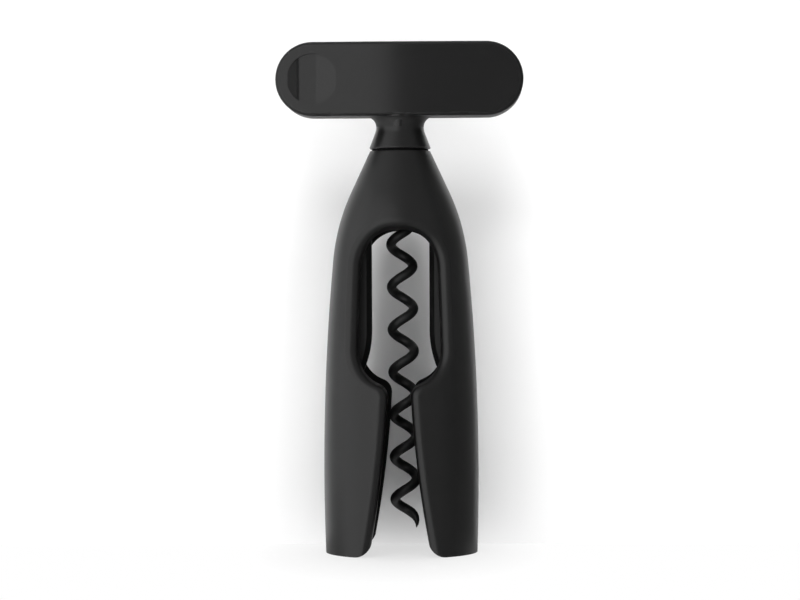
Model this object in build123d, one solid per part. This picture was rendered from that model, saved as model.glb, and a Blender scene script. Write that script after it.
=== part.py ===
from build123d import *
import os
from math import asin, atan, cos, degrees, pi, radians, sin, sqrt, tan

# Self-pulling corkscrew. A bell with two legs stands on the bottle, and a T-handle turns a worm
# that the bell holds lengthwise, so the cork climbs the worm into the bell.
# Millimetres. +Z points up along the worm, the legs stand on Z = 0, the grip lies along X and
# the front, with the thumb dish, faces -Y.

# Fits and cuts
overrun = 2.0
running_gap = 0.05
loose_gap = 0.3
seat_gap = 0.02
half_share = 0.5

# Bell: outline of the shell
bell_height = 132.1
bell_foot_radius = 25.0
bell_widest_radius = 25.48
bell_widest_height = 29.0
bell_shoulder_radius = 21.0
bell_cone_height = 23.9
bell_shoulder_blend = 68.0
bell_top_radius = 9.9
bell_top_round = 0.5
bell_wall = 4.2
bell_crown = 9.0

# Window and slot, drawn where the cut's drafted sides meet the shell
window_depth = 18.4
window_inner_depth = 6.0
window_draft = 28.0
window_width = 30.0
window_top_drop = 1.2
window_top_corner = 13.0
window_sill_height = 59.4
window_sill_slope = 19.0
window_sill_draft_share = 0.45
window_sill_corner = 12.5
window_sill_outer_corner = 17.2
slot_inner_depth = 12.0
slot_draft_share = 0.15
slot_foot_width = 20.2
slot_side_angle = 7.0
slot_side_bow = 1.1
slot_shoulder_share = 0.85
foot_corner_round = 6.0
lip_round = 2.4
lip_shoulder_share = 0.75

# Rails that grip the cork, and ribs that centre the bottle
cork_grip_width = 19.0
cork_rail_thickness = 6.9
cork_rail_nose_width = 2.5
cork_rail_nose_depth = 1.65
cork_rail_flare_height = 73.0
cork_rail_flare_radius = 33.0
bottle_stop_height = 57.0
bottle_diameter = 31.5
bottle_rib_thickness = 2.4
bottle_rib_angle = 38.0
bottle_rib_bottom = 4.0
bottle_rib_lead = 3.0
bottle_rib_lead_height = 8.0

# Bearing in the bell's top
spigot_diameter = 9.0
spigot_chamfer = 0.6
spigot_tail = 1.6
bush_wall = 1.5
bush_length = 16.0
bush_flange_width = 1.6
bush_flange_thickness = 1.2
boss_wall = 2.2
thrust_washer_width = 4.5
thrust_washer_thickness = 0.55
retaining_washer_width = 2.9
retaining_washer_thickness = 0.8
retaining_ring_width = 2.2
retaining_ring_thickness = 0.9
retaining_ring_groove = 0.6
retaining_ring_opening = 4.0

# Stem
seam_gap = 0.6
stem_base_radius = 10.25
stem_base_round = 0.45
stem_waist_radius = 7.85
stem_cone_height = 6.3
stem_waist_height = 1.0
stem_waist_round_share = 0.95
stem_tongue_width = 11.0
stem_tongue_thickness = 7.0
stem_head_width = 32.0
stem_head_height = 11.0
stem_head_lift = 6.5

# Grip
grip_length = 81.35
grip_height = 24.35
grip_thickness = 17.6
grip_face_crown = 1.2
grip_edge_round = 1.2
grip_wall = 2.4
collar_flare = 3.35
collar_thickness = 17.4
collar_turn = 80.0
collar_steps = 4
dish_radius = 8.3
dish_slope_run = 3.9
dish_slope_blend = 9.0
dish_depth = 0.7
dish_ramp_start = 1.2
dowel_diameter = 3.4
dowel_spacing = 22.0
dowel_lift = 3.6
dowel_bite = 1.4
dowel_boss_wall = 1.9
peg_diameter = 3.5
peg_boss_wall = 1.6
peg_length = 3.6
peg_end_room = 0.5

# Worm
wire_diameter = 3.15
worm_diameter = 10.3
worm_pitch = 14.0
worm_left_height = 17.2
worm_lean = 0.7
worm_stations_per_turn = 4
worm_tip_turn = 60.0
worm_tip_drop = 4.6
worm_tip_reach = 1.6
worm_tip_advance = 3.0
worm_tip_diameter = 0.3
worm_tip_steps = 5
worm_tip_fullness = 1.4
worm_head_rise = 6.2
worm_head_top_gap = 0.4
shank_bend_radius = 4.0
shank_bend_height = 4.6

# Places that follow from the sizes
bell_shoulder_height = bell_height - bell_cone_height
bell_reach = max(bell_foot_radius, bell_widest_radius) + overrun
window_top = bell_shoulder_height - window_top_drop
wire_radius = wire_diameter / 2
spigot_radius = spigot_diameter / 2
bush_bore_radius = spigot_radius + running_gap
bush_radius = bush_bore_radius + bush_wall
bush_flange_radius = bush_radius + bush_flange_width
bush_bottom = bell_height - bush_length
boss_radius = bush_radius + boss_wall
cavity_roof = bell_height - bell_crown
washer_top = bush_bottom - loose_gap
ring_top = washer_top - retaining_washer_thickness
ring_bottom = ring_top - retaining_ring_thickness
groove_radius = spigot_radius - retaining_ring_groove
spigot_bottom = ring_bottom - spigot_tail
stem_bottom = bell_height + seam_gap
stem_cone_top = stem_bottom + stem_cone_height
stem_crease = stem_cone_top + stem_waist_height
grip_bottom = stem_crease + collar_flare
grip_centre = grip_bottom + grip_height / 2
head_bottom = stem_crease + stem_head_lift
head_top = head_bottom + stem_head_height
dowel_height = head_bottom + dowel_lift
grip_hollow_depth = grip_thickness / 2 - grip_face_crown - grip_wall
peg_place = (grip_length - grip_height) / 2
cork_nose = cork_grip_width / 2
helix_radius = worm_diameter / 2 - wire_radius
worm_head_top = spigot_bottom - worm_head_top_gap
worm_head_bottom = worm_head_top - worm_head_rise


def near(shape, *points):
    """The vertices of a sketch that lie closest to the given points."""
    return [shape.vertices().sort_by_distance(Vector(*point))[0] for point in points]


def tube(radius, bottom, top):
    """A cylinder on the worm's axis between two heights."""
    return Pos(0, 0, bottom) * extrude(Circle(radius), top - bottom)


def ring(inner, outer, bottom, top):
    """A washer on the worm's axis between two heights."""
    return tube(outer, bottom, top) - tube(inner, bottom - overrun, top + overrun)


# Bell
def bell_solid():
    """The bell's outer form, filled."""
    foot = (bell_foot_radius, 0)
    widest = (bell_widest_radius, bell_widest_height)
    shoulder = (bell_shoulder_radius, bell_shoulder_height)
    top = (bell_top_radius, bell_height)
    outline = Curve() + [
        ThreePointArc(foot, widest, shoulder),
        Polyline(shoulder, top, (0, bell_height), (0, 0), foot),
    ]
    face = make_face(outline)
    face = fillet(near(face, shoulder), bell_shoulder_blend)
    face = fillet(near(face, top), bell_top_round)
    return revolve(Plane.XZ * face, Axis.Z)


def bell_cavity(share):
    """The hollow inside the shell, a share of the wall in from the bell's outline, open below."""
    wall, roof = bell_wall * share, bell_height - bell_crown * share
    foot = (bell_foot_radius - wall, 0)
    widest = (bell_widest_radius - wall, bell_widest_height)
    shoulder = (bell_shoulder_radius - wall, bell_shoulder_height)
    cone_share = bell_crown * share / bell_cone_height
    roof_radius = bell_top_radius + cone_share * (bell_shoulder_radius - bell_top_radius) - wall
    mouth = (foot[0], -overrun)
    outline = Curve() + [
        ThreePointArc(foot, widest, shoulder),
        Polyline(shoulder, (roof_radius, roof), (0, roof), (0, -overrun), mouth, foot),
    ]
    face = make_face(outline)
    face = fillet(near(face, shoulder), bell_shoulder_blend)
    return revolve(Plane.XZ * face, Axis.Z)


def draft_at(depth):
    """How far the drafted cut has drawn in at a depth from the worm's axis."""
    return (window_depth - depth) * tan(radians(window_draft))


def window_points(inset):
    """Corners of the right half of the window, drawn in by inset: top, sill, and sill at the axis."""
    slope = radians(window_sill_slope)
    half = window_width / 2 - inset
    sill = window_sill_height - inset * tan(slope) + inset * window_sill_draft_share / cos(slope)
    return (half, window_top - inset), (half, sill), (0, sill - half * tan(slope))


def window_outline(inset):
    """The window alone, closed below by its sill."""
    top, sill, valley = window_points(inset)
    left_top, left_sill = (-top[0], top[1]), (-sill[0], sill[1])
    face = make_face(Polyline(top, sill, valley, left_sill, left_top, close=True))
    face = fillet(near(face, top, left_top), window_top_corner - inset)
    return fillet(near(face, sill, left_sill), window_sill_corner - inset)


def slot_side(shoulder, foot):
    """One side of the slot from its shoulder to its foot, bowed towards the slot's middle."""
    bow = slot_side_bow if foot[0] > 0 else -slot_side_bow
    middle = ((shoulder[0] + foot[0]) / 2 - bow, (shoulder[1] + foot[1]) / 2)
    return ThreePointArc(shoulder, middle, foot)


def slot_shoulder(inset):
    """Where the sill and the slot's side meet on the right, and the foot of that side."""
    valley = window_points(inset)[2]
    slope, side = tan(radians(window_sill_slope)), tan(radians(slot_side_angle))
    foot = slot_foot_width / 2 - inset * slot_draft_share / cos(radians(slot_side_angle))
    height = (valley[1] + slope * foot) / (1 + slope * side)
    return (foot - side * height, height), (foot, 0)


def slot_bow_angle():
    """How far the slot's side turns, at each end, from its chord."""
    return degrees(atan(4 * slot_side_bow / slot_shoulder(0)[0][1]))


def slot_foot_angle():
    """The slope of the slot's bowed side where it reaches the foot."""
    return slot_side_angle + slot_bow_angle()


def slot_shoulder_round(inset, sill_corner):
    """The round of the slot's shoulder, a share of what fits beside the sill's corner."""
    sill, shoulder = Vector(*window_points(inset)[1]), Vector(*slot_shoulder(inset)[0])
    sill_turn = radians(90 - window_sill_slope)
    free = (sill - shoulder).length - sill_corner * tan(sill_turn / 2)
    shoulder_turn = sill_turn + radians(slot_side_angle - slot_bow_angle())
    return slot_shoulder_share * free / tan(shoulder_turn / 2)


def opening_outline(inset, sill_corner):
    """The window with the slot that runs out of its sill and opens between the legs."""
    top, sill = window_points(inset)[:2]
    shoulder, foot = slot_shoulder(inset)
    below = (foot[0] + tan(radians(slot_foot_angle())) * overrun, -overrun)
    left_top, left_sill, left_shoulder, left_foot, left_below = (
        (-x, z) for x, z in (top, sill, shoulder, foot, below)
    )
    outline = Curve() + [
        Polyline(left_shoulder, left_sill, left_top, top, sill, shoulder),
        slot_side(shoulder, foot),
        Polyline(foot, below, left_below, left_foot),
        slot_side(left_foot, left_shoulder),
    ]
    face = make_face(outline)
    face = fillet(near(face, top, left_top), window_top_corner - inset)
    face = fillet(near(face, sill, left_sill), sill_corner)
    return fillet(near(face, shoulder, left_shoulder), slot_shoulder_round(inset, sill_corner))


def slot_inner_corner():
    """The draw-in and the sill's corner where the slot's cut ends inside the bell."""
    inset = draft_at(slot_inner_depth)
    return inset, window_sill_corner - inset


def lip_limit():
    """The lip's round, held within the tighter round of the slot's shoulder."""
    return min(lip_round, lip_shoulder_share * slot_shoulder_round(*slot_inner_corner()))


def front_cut():
    """What the window and slot take out of the front of the shell."""
    window = [
        Plane.XZ.offset(depth) * window_outline(draft_at(depth))
        for depth in (window_inner_depth, slot_inner_depth)
    ]
    inner = opening_outline(*slot_inner_corner())
    outer = opening_outline(draft_at(bell_reach), window_sill_outer_corner)
    opening = [Plane.XZ.offset(slot_inner_depth) * inner, Plane.XZ.offset(bell_reach) * outer]
    return loft(window, ruled=True) + loft(opening, ruled=True)


def lip_edges(shell, way):
    """The edges of one window and slot that lie on the bell's outside; way is -1 for the front ones."""
    turned = (GeomType.REVOLUTION, GeomType.TORUS)
    outside = ShapeList(face for face in shell.faces() if face.geom_type in turned)
    cut = [edge for edge in outside.edges() if edge.geom_type == GeomType.BSPLINE]
    return [edge for edge in cut if way * edge.center().Y > 0]


def foot_corner():
    """What rounds the lower corner of a leg beside the slot, seen from the front."""
    slope = radians(90 - slot_foot_angle())
    reach = foot_corner_round * tan(slope / 2)
    corner = slot_foot_width / 2
    above = (corner - reach * cos(slope), reach * sin(slope))
    centre = (corner + reach, foot_corner_round)
    middle = (0, above[0] + above[1])
    below, end = (0, -overrun), (corner + reach, -overrun)
    outline = Polyline(middle, above, centre, end, below, close=True)
    face = make_face(outline) - Pos(*centre) * Circle(foot_corner_round)
    return extrude(Plane.XZ * face, bell_reach, both=True)


def cork_rail(room):
    """One rail beside the cork: a tapered nose that flares away at its lower end."""
    drop = cork_rail_flare_height - bottle_stop_height + overrun
    sweep_angle = degrees(asin(drop / cork_rail_flare_radius))
    start = (cork_nose, cork_rail_flare_height)
    path = Curve() + [
        Line((cork_nose, cavity_roof + overrun), start),
        JernArc(start, (0, -1), cork_rail_flare_radius, sweep_angle),
    ]
    nose, body = cork_rail_nose_width / 2, cork_rail_thickness / 2
    shoulder, back = cork_nose + cork_rail_nose_depth, bell_reach
    section = make_face(
        Polyline(
            (cork_nose, nose),
            (shoulder, body),
            (back, body),
            (back, -body),
            (shoulder, -body),
            (cork_nose, -nose),
            close=True,
        )
    )
    rail = sweep(Pos(0, 0, cavity_roof + overrun) * section, path=Plane.XZ * path)
    above_stop = Pos(0, 0, bottle_stop_height) * extrude(Circle(bell_reach), bell_height)
    return rail & above_stop & room


def bottle_rib(angle, room):
    """One rib in a leg that centres the bottle's neck, with a slope where the neck enters."""
    nose, back = bottle_diameter / 2, bell_reach
    outline = Polyline(
        (nose + bottle_rib_lead, bottle_rib_bottom),
        (nose, bottle_rib_bottom + bottle_rib_lead_height),
        (nose, bottle_stop_height),
        (back, bottle_stop_height),
        (back, bottle_rib_bottom),
        close=True,
    )
    rib = extrude(Plane.XZ * make_face(outline), bottle_rib_thickness / 2, both=True)
    return Rot(0, 0, angle) * rib & room


def bell_body():
    shell = bell_solid()
    for side, way in ((0, -1), (180, 1)):
        shell -= Rot(0, 0, side) * front_cut()
        shell = fillet(lip_edges(shell, way), lip_limit())
    shell -= bell_cavity(1)
    half_wall = bell_cavity(half_share)
    shell -= [foot_corner(), Rot(0, 0, 180) * foot_corner()]
    for side in (0, 180):
        shell += Rot(0, 0, side) * cork_rail(half_wall)
        for angle in (-bottle_rib_angle, 0, bottle_rib_angle):
            shell += bottle_rib(side + angle, half_wall)
    shell += tube(boss_radius, bush_bottom, cavity_roof)
    shell -= tube(bush_radius + seat_gap, bush_bottom - overrun, bell_height + overrun)
    flange_seat = bell_height - bush_flange_thickness
    return shell - tube(bush_flange_radius + seat_gap, flange_seat, bell_height + overrun)


# Bearing
def bearing_bush():
    sleeve = tube(bush_radius, bush_bottom, bell_height)
    flange = tube(bush_flange_radius, bell_height - bush_flange_thickness, bell_height)
    return sleeve + flange - tube(bush_bore_radius, bush_bottom - overrun, bell_height + overrun)


def thrust_washer():
    inner = spigot_radius + loose_gap
    return ring(inner, inner + thrust_washer_width, bell_height, bell_height + thrust_washer_thickness)


def retaining_washer():
    inner = spigot_radius + seat_gap
    return ring(inner, inner + retaining_washer_width, ring_top, washer_top)


def retaining_ring():
    inner = groove_radius + seat_gap
    outer = inner + retaining_ring_width
    opening = Pos(0, -outer, (ring_bottom + ring_top) / 2)
    gap = Box(retaining_ring_opening, outer + outer, retaining_ring_thickness + overrun)
    return ring(inner, outer, ring_bottom, ring_top) - opening * gap


# Worm
def helix_point(turn):
    """Point and direction on the worm's centre line at a turn in degrees, counted from +X."""
    angle, lean = radians(turn), tan(radians(worm_lean))
    rise = worm_pitch / (2 * pi)
    height = worm_left_height + rise * (angle - pi)
    aside = lean * (bell_height - height)
    point = Vector(helix_radius * cos(angle) + aside, helix_radius * sin(angle), height)
    way = Vector(-helix_radius * sin(angle) - lean * rise, helix_radius * cos(angle), rise)
    return point, way.normalized()


def biarc(start, start_way, end, end_way):
    """Two arcs, tangent to each other, from one point and direction to another."""
    chord, ways = end - start, start_way + end_way
    spread = 2 * (1 - start_way.dot(end_way))
    along = chord.dot(ways)
    reach = (sqrt(along**2 + spread * chord.dot(chord)) - along) / spread
    middle = (start + end + (start_way - end_way) * reach) * (1 / 2)
    first = Edge.make_tangent_arc(start, start_way, middle)
    return first, Edge.make_tangent_arc(middle, first.tangent_at(1), end)


def shank_path():
    """The worm's straight shank and the arm bent over on top of the stem's head."""
    bend = Vector(0, 0, head_bottom + shank_bend_height)
    foot = Vector(0, 0, worm_head_top)
    turned = bend + Vector(shank_bend_radius, 0, shank_bend_radius)
    end = Vector(stem_head_width / 2 - wire_diameter, 0, turned.Z)
    arc = Edge.make_tangent_arc(bend, Vector(0, 0, 1), turned)
    return [Edge.make_line(foot, bend), arc, Edge.make_line(turned, end)]


def wire_along(edges, radius):
    """A round wire of one radius along a chain of edges."""
    path = Wire(edges)
    return sweep(Plane(path.position_at(0), z_dir=path.tangent_at(0)) * Circle(radius), path=path)


def worm_tip(start, way):
    """The ground point: it leaves the last turn, bends downwards and tapers."""
    end = start + Vector(worm_tip_reach, -worm_tip_advance, -worm_tip_drop)
    bend = Edge.make_tangent_arc(start, way, end)
    end_radius = worm_tip_diameter / 2
    sections = []
    for step in range(worm_tip_steps + 1):
        share = step / worm_tip_steps
        radius = wire_radius + (end_radius - wire_radius) * share**worm_tip_fullness
        place = Plane(bend.position_at(share), z_dir=bend.tangent_at(share), x_dir=(1, 0, 0))
        sections.append(place * Circle(radius))
    return loft(sections, ruled=True)


def worm():
    last_turn = 180 + 360 * (worm_head_bottom - worm_left_height) / worm_pitch
    step = 360 / worm_stations_per_turn
    turns = [worm_tip_turn]
    while turns[-1] + step < last_turn:
        turns.append(turns[-1] + step)
    turns.append(last_turn)
    stations = [helix_point(turn) for turn in turns]
    stations.append((Vector(0, 0, worm_head_top), Vector(0, 0, 1)))
    edges = []
    for (start, start_way), (end, end_way) in zip(stations, stations[1:]):
        edges.extend(biarc(start, start_way, end, end_way))
    point, way = stations[0]
    return wire_along(edges + shank_path(), wire_radius) + worm_tip(point, way * -1)


# Handle
def handle_stem():
    outline = Polyline(
        (0, spigot_bottom),
        (spigot_radius - spigot_chamfer, spigot_bottom),
        (spigot_radius, spigot_bottom + spigot_chamfer),
        (spigot_radius, ring_bottom - seat_gap),
        (groove_radius, ring_bottom - seat_gap),
        (groove_radius, ring_top + seat_gap),
        (spigot_radius, ring_top + seat_gap),
        (spigot_radius, stem_bottom),
        (stem_base_radius, stem_bottom),
        (stem_waist_radius, stem_cone_top),
        (stem_waist_radius, stem_crease),
        (0, stem_crease),
        close=True,
    )
    face = make_face(outline)
    face = fillet(near(face, (stem_base_radius, stem_bottom)), stem_base_round)
    turn = atan((stem_base_radius - stem_waist_radius) / stem_cone_height)
    waist_round = stem_waist_round_share * stem_waist_height / tan(turn / 2)
    face = fillet(near(face, (stem_waist_radius, stem_cone_top)), waist_round)
    stem = revolve(Plane.XZ * face, Axis.Z)
    tongue_height = head_top - stem_crease
    stem += Pos(0, 0, stem_crease) * block(stem_tongue_width, stem_tongue_thickness, tongue_height)
    stem += Pos(0, 0, head_bottom) * block(stem_head_width, stem_tongue_thickness, stem_head_height)
    stem -= shank_channel()
    return stem - dowels(seat_gap, overrun)


def block(width, thickness, height):
    """A box that stands on its place, centred on the worm's axis."""
    return extrude(Rectangle(width, thickness), height)


def shank_channel():
    """The hole for the shank, and the open groove for its bent arm."""
    radius = wire_radius + seat_gap
    channel = wire_along(shank_path(), radius)
    below = tube(radius, spigot_bottom - overrun, worm_head_top + overrun)
    arm_height = head_bottom + shank_bend_height + shank_bend_radius
    groove_end = stem_head_width / 2 + overrun
    groove_height = head_top - arm_height + overrun
    groove = Pos(groove_end / 2, 0, arm_height) * block(groove_end, 2 * radius, groove_height)
    return channel + below + groove


def dowels(clearance, extra):
    """The two dowels across the stem's head, or their holes."""
    half = dowel_half_length() + extra
    pair = [
        Plane.XZ.offset(-half) * Pos(x, dowel_height) * Circle(dowel_diameter / 2 + clearance)
        for x in (-dowel_spacing / 2, dowel_spacing / 2)
    ]
    return [extrude(circle, 2 * half) for circle in pair]


def dowel_half_length():
    return grip_hollow_depth + dowel_bite


def grip_solid():
    """The T-grip with its collar, filled: crowned faces, round ends and rounded edges."""
    outline = Plane.XZ * Pos(0, grip_centre) * SlotOverall(grip_length, grip_height)
    bar = extrude(outline, grip_thickness, both=True)
    end, side, middle = grip_length / 2, grip_thickness / 2 - grip_face_crown, grip_thickness / 2
    plan = Curve() + [
        ThreePointArc((-end, -side), (0, -middle), (end, -side)),
        Line((end, -side), (end, side)),
        ThreePointArc((end, side), (0, middle), (-end, side)),
        Line((-end, side), (-end, -side)),
    ]
    bar &= Pos(0, 0, grip_bottom - overrun) * extrude(make_face(plan), grip_height + 2 * overrun)
    faces = [bar.faces().sort_by(Axis.Y)[0], bar.faces().sort_by(Axis.Y)[-1]]
    bar = fillet([edge for face in faces for edge in face.edges()], grip_edge_round)
    return bar + collar()


def collar():
    """The neck between the stem and the grip's underside: round below, oval where it runs into the grip."""
    sections = []
    for step in range(collar_steps + 1):
        angle = radians(collar_turn * step / collar_steps)
        share = 1 - cos(angle)
        width = stem_waist_radius + collar_flare * share
        depth = stem_waist_radius + (collar_thickness / 2 - stem_waist_radius) * share
        height = stem_crease + collar_flare * sin(angle)
        sections.append(Pos(0, 0, height) * Ellipse(width, depth))
    inside = grip_bottom + grip_edge_round
    run = (inside - height) * tan(radians(collar_turn))
    root = Pos(0, 0, inside) * Ellipse(width + run, depth)
    return loft(sections) + loft([sections[-1], root], ruled=True)


def grip_hollow():
    """The space inside the two shells, with the passage for the stem's tongue."""
    inside = SlotOverall(grip_length - 2 * grip_wall, grip_height - 2 * grip_wall)
    hollow = extrude(Plane.XZ * Pos(0, grip_centre) * inside, grip_hollow_depth, both=True)
    passage = block(stem_tongue_width + 2 * seat_gap, stem_tongue_thickness + 2 * seat_gap, grip_height / 2)
    return hollow + Pos(0, 0, stem_crease - seat_gap) * passage


def thumb_dish():
    """What the round dish takes out of the front face near its left end: a slope, a floor and a ramp."""
    crown_radius = (grip_length**2 / 4 + grip_face_crown**2) / (2 * grip_face_crown)
    tilt = asin(peg_place / crown_radius)
    face = grip_thickness / 2 - crown_radius * (1 - cos(tilt))
    along, outward = (cos(tilt), -sin(tilt), 0), (-sin(tilt), -cos(tilt), 0)
    plane = Plane((-peg_place, -face, grip_centre), x_dir=along, z_dir=outward)
    slope_foot = (dish_slope_run - dish_radius, -dish_depth)
    profile = Polyline(
        (-dish_radius, 0),
        slope_foot,
        (dish_ramp_start, -dish_depth),
        (dish_radius, 0),
        (dish_radius, overrun),
        (-dish_radius, overrun),
        close=True,
    )
    section = make_face(profile)
    section = fillet(near(section, slope_foot), dish_slope_blend)
    above_floor = extrude(Plane.XZ * section, dish_radius, both=True)
    round_cut = Pos(0, 0, -overrun) * extrude(Circle(dish_radius), 2 * overrun)
    return plane * (round_cut & above_floor)


def across(radius, x, z, start, end):
    """A round pillar along Y between two depths."""
    return extrude(Plane.XZ.offset(-end) * Pos(x, z) * Circle(radius), end - start)


def shell_half(front):
    """One half of the grip, hollow, with bosses on the dowels and pegs near the ends."""
    way = -1 if front else 1
    half = block(2 * grip_length, 2 * grip_thickness, 2 * grip_centre)
    half_space = Pos(0, way * grip_thickness, 0) * half
    hollow = grip_hollow()
    shell = (grip_solid() - hollow) & half_space
    boss_start = stem_tongue_thickness / 2 + seat_gap
    boss_end = grip_hollow_depth + dowel_bite
    for x in (-dowel_spacing / 2, dowel_spacing / 2):
        span = sorted((way * boss_start, way * boss_end))
        shell += across(dowel_diameter / 2 + dowel_boss_wall, x, dowel_height, *span)
    shell -= dowels(seat_gap, seat_gap)
    for x in (-peg_place, peg_place):
        span = sorted((way * seat_gap, way * boss_end))
        shell += across(peg_diameter / 2 + peg_boss_wall, x, grip_centre, *span)
        if front:
            hole_end = -peg_length - peg_end_room
            shell -= across(peg_diameter / 2 + seat_gap, x, grip_centre, hole_end, overrun)
        else:
            shell += across(peg_diameter / 2, x, grip_centre, -peg_length, grip_hollow_depth)
    return shell


def handle_front_shell():
    return shell_half(True) - thumb_dish()


def handle_rear_shell():
    return shell_half(False)


def handle_dowels():
    return Compound(children=dowels(0, 0))


pieces = {
    "bell_body": bell_body,
    "bearing_bush": bearing_bush,
    "thrust_washer": thrust_washer,
    "handle_stem": handle_stem,
    "worm": worm,
    "retaining_washer": retaining_washer,
    "retaining_ring": retaining_ring,
    "handle_front_shell": handle_front_shell,
    "handle_rear_shell": handle_rear_shell,
    "handle_dowels": handle_dowels,
}

os.makedirs("parts", exist_ok=True)
for name, make in pieces.items():
    export_step(make(), f"parts/{name}.step")
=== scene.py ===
import bpy
from math import cos, pi, radians, sin
from mathutils import Matrix, Vector


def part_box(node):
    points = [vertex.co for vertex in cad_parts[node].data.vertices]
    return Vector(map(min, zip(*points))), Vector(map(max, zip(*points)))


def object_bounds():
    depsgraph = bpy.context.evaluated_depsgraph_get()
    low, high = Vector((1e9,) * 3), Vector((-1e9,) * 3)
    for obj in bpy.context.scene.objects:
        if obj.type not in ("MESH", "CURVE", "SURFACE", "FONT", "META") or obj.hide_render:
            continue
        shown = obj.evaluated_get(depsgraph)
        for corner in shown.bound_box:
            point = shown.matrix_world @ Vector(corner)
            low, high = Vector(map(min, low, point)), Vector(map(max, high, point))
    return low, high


# Self-pulling corkscrew: finishes, stage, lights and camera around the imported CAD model.
# Metres, in the CAD frame: the worm's axis is Z, the legs stand on Z = 0, the front faces -Y.
# Angles are in degrees. Those round the worm's axis start at the front and grow to the right.

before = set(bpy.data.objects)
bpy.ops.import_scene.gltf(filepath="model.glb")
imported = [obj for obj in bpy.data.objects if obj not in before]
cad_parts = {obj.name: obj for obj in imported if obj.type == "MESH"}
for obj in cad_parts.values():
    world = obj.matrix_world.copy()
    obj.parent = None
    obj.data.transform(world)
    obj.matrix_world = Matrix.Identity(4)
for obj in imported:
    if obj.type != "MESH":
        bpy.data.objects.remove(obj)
cad_low, cad_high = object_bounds()

MM = 0.001

# The photograph's view
CAMERA_DISTANCE = 0.905
CAMERA_AZIMUTH = 1.6
CAMERA_HEIGHT = 0.0912
CAMERA_ROLL = 0.26
CAMERA_TARGET = Vector((-0.00025, 0, 0.0830))
CAMERA_LENS = 123.4
CAMERA_SENSOR = 36.0

# The lamps are turned to this point on the worm's axis
MIDDLE = Vector((0, 0, CAMERA_TARGET.z))

# Floor and wall: matt white paper, a share of which glows in plain white where it is seen
STAGE_REACH = 3.0
PAPER_WHITE = 0.95
PLAIN_WHITE = 1.0
WALL_GAP = 1.2 * MM
WALL_BEND_HEIGHT = 45 * MM
WALL_BEND_STEPS = 16
# The wall's glow near the floor is painted light on its shaded foot
WALL_PAINTED_LIGHT = 0.6
WALL_PAINTED_LIGHT_HEIGHT = 28 * MM
WALL_PAINTED_LIGHT_POWER = 2.0
# The floor's darker seen white and its lower glow round the legs are a painted shade
FLOOR_PAINTED_SHADE_TONE = 0.5
FLOOR_PAINTED_SHADE_GLOW = 0.65
FLOOR_PAINTED_SHADE_GLOW_START, FLOOR_PAINTED_SHADE_GLOW_END = 25 * MM, 95 * MM
FLOOR_PAINTED_SHADE_GLOW_STRETCH = (2.0, 1.0, 1.0)

# Cards beside the object: place across, front edge and radiance
CARD_HEIGHT = 260 * MM
CARDS = {
    "right_card": (45 * MM, -22 * MM, 0.25),
    "left_card": (-62 * MM, 2 * MM, 0.7),
}

# Soft box on the left and its brighter core: the angles of both edges and the radiance
SOFTBOX_DISTANCE = 0.9
SOFTBOX_HEIGHT = 1.3
SOFTBOXES = {
    "soft_box": (-2.4, -95.0, 1.25),
    "soft_box_core": (-13.5, -40.0, 0.35),
}

# Fills on both sides, and the lamp overhead
FILL_RADIANCE = 2.3
FILL_ANGLE = 35.0
FILL_DISTANCE = 1.2
FILL_WIDTH, FILL_HEIGHT = 0.5, 1.2
OVERHEAD_RADIANCE = 3.7
OVERHEAD_TILT = 57.0
OVERHEAD_ANGLE = -14.0
OVERHEAD_DISTANCE = 1.3
OVERHEAD_WIDTH, OVERHEAD_HEIGHT = 1.0, 0.9

# Room, and its darker panel by how far a direction points to the right
ROOM_RADIANCE = 0.5
PANEL_RADIANCE = 0.3
PANEL_START, PANEL_END = 0.85, 0.99

# Plastics: the moulds' grain, a slow drift in tone and gloss, and each piece's values.
# The scales of patterns are per metre.
GRAIN_SCALE = 1 / (0.25 * MM)
GRAIN_DETAIL, GRAIN_ROUGHNESS = 3.0, 0.6
GRAIN_DEPTH, GRAIN_STRENGTH = 0.006 * MM, 0.35
DRIFT_SCALE = 45.0
DRIFT_DETAIL, DRIFT_ROUGHNESS = 4.0, 0.55
GLOSS_DRIFT = 0.03
PLASTIC_TONES = (0.0040, 0.0055)
PLASTIC_SPECULAR = 0.3
BELL_ROUGHNESS = 0.36
STEM_ROUGHNESS = 0.30
GRIP_ROUGHNESS = 0.52
BUSH_TONES = (0.008, 0.012)
BUSH_ROUGHNESS = 0.40
WASHER_TONES = (0.002, 0.003)
WASHER_ROUGHNESS = 0.7
WASHER_SPECULAR = 0.05

# Polish of the grip, by how squarely a face looks to the front or rear and how far it slopes to the right
GRIP_POLISH = 0.11
POLISH_START, POLISH_END = 0.960, 0.985
MATT_SLOPE_START, MATT_SLOPE_END = 0.09, 0.125

# The worm's coating: a slight orange peel, and blotches in tone and gloss
PEEL_SCALE, PEEL_DETAIL = 1600.0, 2.0
PEEL_DEPTH, PEEL_STRENGTH = 0.01 * MM, 0.3
BLOTCH_SCALE, BLOTCH_DETAIL, BLOTCH_DISTORTION = 220.0, 5.0, 0.6
COATING_TONES = (0.004, 0.009)
COATING_ROUGHNESS = (0.42, 0.52)
COATING_SPECULAR = 0.25

# Plain steel of the inner pieces
STEEL_GRAIN_SCALE, STEEL_GRAIN_DETAIL = 2600.0, 2.0
STEEL_GRAIN_DEPTH, STEEL_GRAIN_STRENGTH = 0.005 * MM, 0.2
STEEL_TONES = (0.42, 0.56)
STEEL_ROUGHNESS = (0.28, 0.40)


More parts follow.
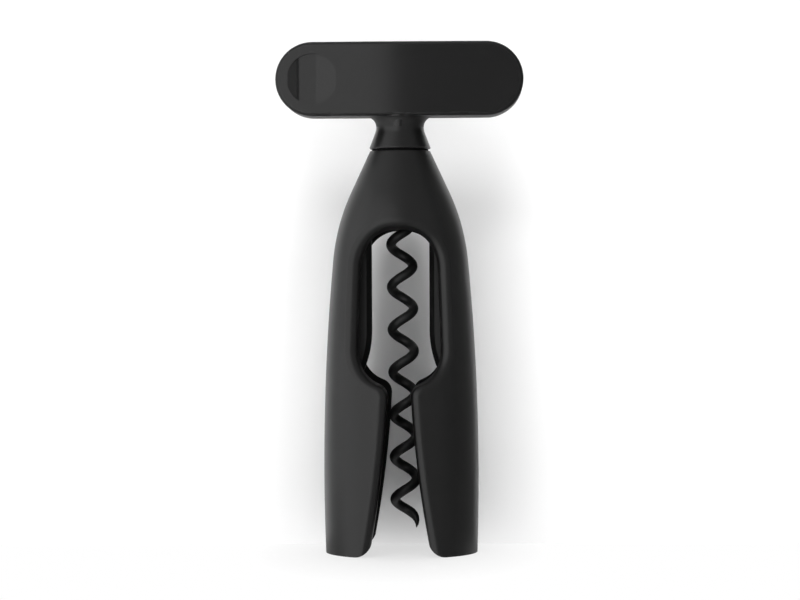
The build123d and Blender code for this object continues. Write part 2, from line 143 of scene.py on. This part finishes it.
class Shader:
    """The nodes of a new material or world, with short ways to add and join them."""

    def __init__(self, owner, output="OutputMaterial"):
        owner.use_nodes = True
        self.owner = owner
        self.tree = owner.node_tree
        self.tree.nodes.clear()
        self.output = self.node(output)

    def feed(self, socket, value):
        """Joins a socket to another node's output, or sets it to a constant."""
        if isinstance(value, bpy.types.NodeSocket):
            self.tree.links.new(value, socket)
        else:
            socket.default_value = value

    def node(self, kind, settings=None, **inputs):
        """Adds a node; an input is a constant or another node's output."""
        made = self.tree.nodes.new("ShaderNode" + kind)
        for key, value in (settings or {}).items():
            setattr(made, key, value)
        for key, value in inputs.items():
            self.feed(made.inputs[key.replace("_", " ")], value)
        return made

    def math(self, operation, *values):
        """What an operation makes of its values."""
        made = self.node("Math", {"operation": operation})
        for socket, value in zip(made.inputs, values):
            self.feed(socket, value)
        return made.outputs["Value"]

    def axes(self, way):
        """The X, Y and Z parts of one of the surface's coordinates."""
        return self.node("SeparateXYZ", Vector=self.node("TexCoord").outputs[way]).outputs

    def noise(self, **inputs):
        """A 0 to 1 pattern through the piece."""
        place = self.node("TexCoord").outputs["Object"]
        return self.node("TexNoise", Vector=place, **inputs).outputs["Fac"]

    def bump(self, pattern, strength, depth):
        """The surface's normal, roughened by a pattern."""
        return self.node("Bump", Height=pattern, Strength=strength, Distance=depth).outputs["Normal"]

    def rise(self, value, start, end):
        """0 up to the start and 1 from the end, which may also lie below the start."""
        return self.node("MapRange", Value=value, From_Min=start, From_Max=end).outputs["Result"]

    def spread(self, pattern, low, high):
        """A number between low and high that follows a 0 to 1 pattern."""
        return self.node("MapRange", Value=pattern, To_Min=low, To_Max=high).outputs["Result"]

    def tint(self, pattern, tones):
        """A grey between two tones that follows a 0 to 1 pattern."""
        ramp = self.node("ValToRGB", Fac=pattern)
        for element, tone in zip(ramp.color_ramp.elements, tones):
            element.color = grey(tone)
        return ramp.outputs["Color"]

    def glow(self, radiance):
        return self.node("Emission", Color=grey(radiance), Strength=1.0).outputs["Emission"]

    def principled(self, **inputs):
        return self.surface(self.node("BsdfPrincipled", **inputs).outputs["BSDF"])

    def mix(self, share, first, second):
        """The first shader where the share is 0, the second where it is 1."""
        made = self.node("MixShader", Fac=share)
        self.feed(made.inputs[1], first)
        self.feed(made.inputs[2], second)
        return made.outputs["Shader"]

    def surface(self, socket):
        """Ends the nodes with a shader, and returns the material or world."""
        self.feed(self.output.inputs["Surface"], socket)
        return self.owner


def grey(value):
    return (value, value, value, 1)


def material_shader(name):
    return Shader(bpy.data.materials.new(name))


def polished_faces(shader, rough):
    """A roughness that is low on front and rear faces, and high on rounds, sides and the dish's slope."""
    way = shader.axes("Normal")
    flat = shader.rise(shader.math("ABSOLUTE", way["Y"]), POLISH_START, POLISH_END)
    slope = shader.rise(way["X"], MATT_SLOPE_START, MATT_SLOPE_END)
    return shader.spread(shader.math("SUBTRACT", flat, slope), rough, GRIP_POLISH)


def moulded_plastic(name, tones, roughness, specular=PLASTIC_SPECULAR, polished=False):
    """Spark-eroded moulding: a fine even grain, and a slow drift in tone and gloss."""
    shader = material_shader(name)
    grain = shader.noise(Scale=GRAIN_SCALE, Detail=GRAIN_DETAIL, Roughness=GRAIN_ROUGHNESS)
    drift = shader.noise(Scale=DRIFT_SCALE, Detail=DRIFT_DETAIL, Roughness=DRIFT_ROUGHNESS)
    gloss = shader.spread(drift, roughness - GLOSS_DRIFT, roughness + GLOSS_DRIFT)
    return shader.principled(
        Base_Color=shader.tint(drift, tones),
        Roughness=polished_faces(shader, gloss) if polished else gloss,
        Normal=shader.bump(grain, GRAIN_STRENGTH, GRAIN_DEPTH),
        Specular_IOR_Level=specular,
    )


def coated_wire(name):
    """Black non-stick coating on wire: satin, with a slight orange peel and blotches."""
    shader = material_shader(name)
    peel = shader.noise(Scale=PEEL_SCALE, Detail=PEEL_DETAIL)
    blotch = shader.noise(Scale=BLOTCH_SCALE, Detail=BLOTCH_DETAIL, Distortion=BLOTCH_DISTORTION)
    return shader.principled(
        Base_Color=shader.tint(blotch, COATING_TONES),
        Roughness=shader.spread(blotch, *COATING_ROUGHNESS),
        Normal=shader.bump(peel, PEEL_STRENGTH, PEEL_DEPTH),
        Specular_IOR_Level=COATING_SPECULAR,
    )


def plain_steel(name):
    """Bare steel with a fine grain in tone and gloss."""
    shader = material_shader(name)
    grain = shader.noise(Scale=STEEL_GRAIN_SCALE, Detail=STEEL_GRAIN_DETAIL)
    return shader.principled(
        Base_Color=shader.tint(grain, STEEL_TONES),
        Metallic=1.0,
        Roughness=shader.spread(grain, *STEEL_ROUGHNESS),
        Normal=shader.bump(grain, STEEL_GRAIN_STRENGTH, STEEL_GRAIN_DEPTH),
    )


def finish_nodes():
    """Gives every CAD node its finish."""
    grip = moulded_plastic("grip_plastic", PLASTIC_TONES, GRIP_ROUGHNESS, polished=True)
    steel = plain_steel("plain_steel")
    finishes = {
        "bell_body": moulded_plastic("bell_plastic", PLASTIC_TONES, BELL_ROUGHNESS),
        "handle_stem": moulded_plastic("stem_plastic", PLASTIC_TONES, STEM_ROUGHNESS),
        "handle_front_shell": grip,
        "handle_rear_shell": grip,
        "bearing_bush": moulded_plastic("bush_plastic", BUSH_TONES, BUSH_ROUGHNESS),
        "thrust_washer": moulded_plastic("washer_plastic", WASHER_TONES, WASHER_ROUGHNESS, WASHER_SPECULAR),
        "worm": coated_wire("worm_coating"),
        "handle_dowels": steel,
        "retaining_washer": steel,
        "retaining_ring": steel,
    }
    for name, material in finishes.items():
        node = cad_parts[name]
        node.data.materials.clear()
        node.data.materials.append(material)


def sheet(name, edge_pairs, material):
    """A smooth stage sheet through pairs of points, one on its left edge and one on its right in each."""
    mesh = bpy.data.meshes.new(name)
    points = [point for pair in edge_pairs for point in pair]
    starts = range(0, len(points) - 2, 2)
    mesh.from_pydata(points, [], [(start, start + 1, start + 3, start + 2) for start in starts])
    mesh.shade_smooth()
    mesh.materials.append(material)
    piece = bpy.data.objects.new(name, mesh)
    bpy.context.scene.collection.objects.link(piece)
    return piece


def floor_glow_with_painted_shade(shader):
    """The floor's share of plain white: some round the legs, a painted shade there, and all further off."""
    place = shader.node("TexCoord").outputs["Object"]
    oval = shader.node("VectorMath", {"operation": "MULTIPLY"}, Vector=place)
    shader.feed(oval.inputs[1], FLOOR_PAINTED_SHADE_GLOW_STRETCH)
    away = shader.node("VectorMath", {"operation": "LENGTH"}, Vector=oval.outputs["Vector"])
    clear = shader.rise(away.outputs["Value"], FLOOR_PAINTED_SHADE_GLOW_START, FLOOR_PAINTED_SHADE_GLOW_END)
    return shader.spread(clear, FLOOR_PAINTED_SHADE_GLOW, 1.0)


def wall_painted_light(shader):
    """The wall's share of plain white, a painted light on its shaded foot: most at the floor, none above
    the painted light's height.
    """
    low = shader.rise(shader.axes("Object")["Z"], WALL_PAINTED_LIGHT_HEIGHT, 0.0)
    return shader.spread(shader.math("POWER", low, WALL_PAINTED_LIGHT_POWER), 0.0, WALL_PAINTED_LIGHT)


def paper(name, upright):
    """Matt white paper that glows where it is seen, as painted light at the wall's foot. There the floor's
    white is darker, a painted shade that shows round the legs.

    The wall is clear from behind.
    """
    shader = material_shader(name)
    path = shader.node("LightPath").outputs
    mirrored = shader.math("MAXIMUM", path["Is Glossy Ray"], path["Is Transmission Ray"])
    seen = shader.math("MAXIMUM", path["Is Camera Ray"], mirrored)
    # The camera sees the floor darker than it lights the scene: a painted shade, which shows where its glow
    # is less
    tone = shader.spread(seen, PAPER_WHITE, PAPER_WHITE if upright else FLOOR_PAINTED_SHADE_TONE)
    matt = shader.node("BsdfDiffuse", Color=tone).outputs["BSDF"]
    # Share of plain white: painted light at the wall's foot, and on the floor less of it round the legs, a
    # painted shade
    share = shader.math("MULTIPLY", seen, wall_painted_light(shader) if upright else floor_glow_with_painted_shade(shader))
    face = shader.mix(share, matt, shader.glow(PLAIN_WHITE))
    if not upright:
        return shader.surface(face)
    clear = shader.node("BsdfTransparent").outputs["BSDF"]
    return shader.surface(shader.mix(shader.node("NewGeometry").outputs["Backfacing"], face, clear))


def wall_rows(near):
    """Depth and height along the wall: upright behind the bell, then back to clear the handle's sweep."""
    far = max(cad_high.x, -cad_low.x) + WALL_GAP
    bend_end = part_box("handle_front_shell")[0].z
    rows = [(near, 0.0)]
    for step in range(WALL_BEND_STEPS + 1):
        share = step / WALL_BEND_STEPS
        eased = share * share * (3 - 2 * share)
        rows.append((near + (far - near) * eased, bend_end - WALL_BEND_HEIGHT * (1 - share)))
    return rows + [(far, STAGE_REACH)]


def card(name, edge_pairs, radiance):
    """A grey card near the object that only shows as a reflection in it."""
    shader = material_shader(name)
    piece = sheet(name, edge_pairs, shader.surface(shader.glow(radiance)))
    piece.visible_camera = False
    piece.visible_diffuse = False
    piece.visible_shadow = False


def build_stage():
    """A pale floor under the legs, a pale wall close behind for the soft shadows, and two cards."""
    reach = STAGE_REACH
    wall = cad_high.y + WALL_GAP
    floor_pairs = [((-reach, y, 0), (reach, y, 0)) for y in (-reach, reach)]
    floor = sheet("stage_floor", floor_pairs, paper("stage_floor", False))
    floor.visible_glossy = False
    wall_pairs = [((-reach, y, z), (reach, y, z)) for y, z in wall_rows(wall)]
    sheet("stage_wall", wall_pairs, paper("stage_wall", True))
    for name, (place, front, radiance) in CARDS.items():
        card(name, [((place, y, 0), (place, y, CARD_HEIGHT)) for y in (front, wall)], radiance)


def on_circle(angle, distance, height):
    """A point round the worm's axis."""
    return Vector((distance * sin(radians(angle)), -distance * cos(radians(angle)), height))


def area_light(name, centre, width, height, radiance):
    """A rectangular lamp of one radiance all over its face, turned to the middle."""
    lamp = bpy.data.lights.new(name, "AREA")
    lamp.shape = "RECTANGLE"
    lamp.size = width
    lamp.size_y = height
    lamp.energy = radiance * pi * width * height
    piece = bpy.data.objects.new(name, lamp)
    piece.location = centre
    piece.rotation_mode = "QUATERNION"
    piece.rotation_quaternion = (MIDDLE - centre).to_track_quat("-Z", "Y")
    bpy.context.scene.collection.objects.link(piece)
    return piece


def build_lights():
    """The soft box on the left is only mirrored; the fills and the lamp overhead only light."""
    for name, (near_angle, far_angle, radiance) in SOFTBOXES.items():
        near = on_circle(near_angle, SOFTBOX_DISTANCE, MIDDLE.z)
        far = on_circle(far_angle, SOFTBOX_DISTANCE, MIDDLE.z)
        box = area_light(name, (near + far) / 2, (near - far).length, SOFTBOX_HEIGHT, radiance)
        box.visible_diffuse = False
    for name, angle in (("fill_left", -FILL_ANGLE), ("fill_right", FILL_ANGLE)):
        place = on_circle(angle, FILL_DISTANCE, MIDDLE.z)
        area_light(name, place, FILL_WIDTH, FILL_HEIGHT, FILL_RADIANCE).visible_glossy = False
    tilt = radians(OVERHEAD_TILT)
    height = MIDDLE.z + OVERHEAD_DISTANCE * sin(tilt)
    place = on_circle(OVERHEAD_ANGLE, OVERHEAD_DISTANCE * cos(tilt), height)
    overhead = area_light("overhead", place, OVERHEAD_WIDTH, OVERHEAD_HEIGHT, OVERHEAD_RADIANCE)
    overhead.visible_glossy = False


def build_room():
    """An even pale room, with a darker panel on the right."""
    shader = Shader(bpy.data.worlds.new("room"), "OutputWorld")
    panel = shader.node(
        "MapRange",
        {"interpolation_type": "SMOOTHSTEP"},
        Value=shader.axes("Generated")["X"],
        From_Min=PANEL_START,
        From_Max=PANEL_END,
        To_Min=ROOM_RADIANCE,
        To_Max=PANEL_RADIANCE,
    )
    light = shader.node("Background", Color=grey(PLAIN_WHITE), Strength=panel.outputs["Result"])
    bpy.context.scene.world = shader.surface(light.outputs["Background"])


def build_camera():
    data = bpy.data.cameras.new("camera")
    data.lens = CAMERA_LENS
    data.sensor_width = CAMERA_SENSOR
    camera = bpy.data.objects.new("camera", data)
    location = on_circle(CAMERA_AZIMUTH, CAMERA_DISTANCE, CAMERA_HEIGHT)
    turn = (CAMERA_TARGET - location).to_track_quat("-Z", "Y").to_matrix().to_4x4()
    roll = Matrix.Rotation(radians(-CAMERA_ROLL), 4, "Z")
    camera.matrix_world = Matrix.Translation(location) @ turn @ roll
    bpy.context.scene.collection.objects.link(camera)
    bpy.context.scene.camera = camera


finish_nodes()
build_stage()
build_lights()
build_room()
build_camera()
bpy.context.scene.view_settings.view_transform = "Standard"
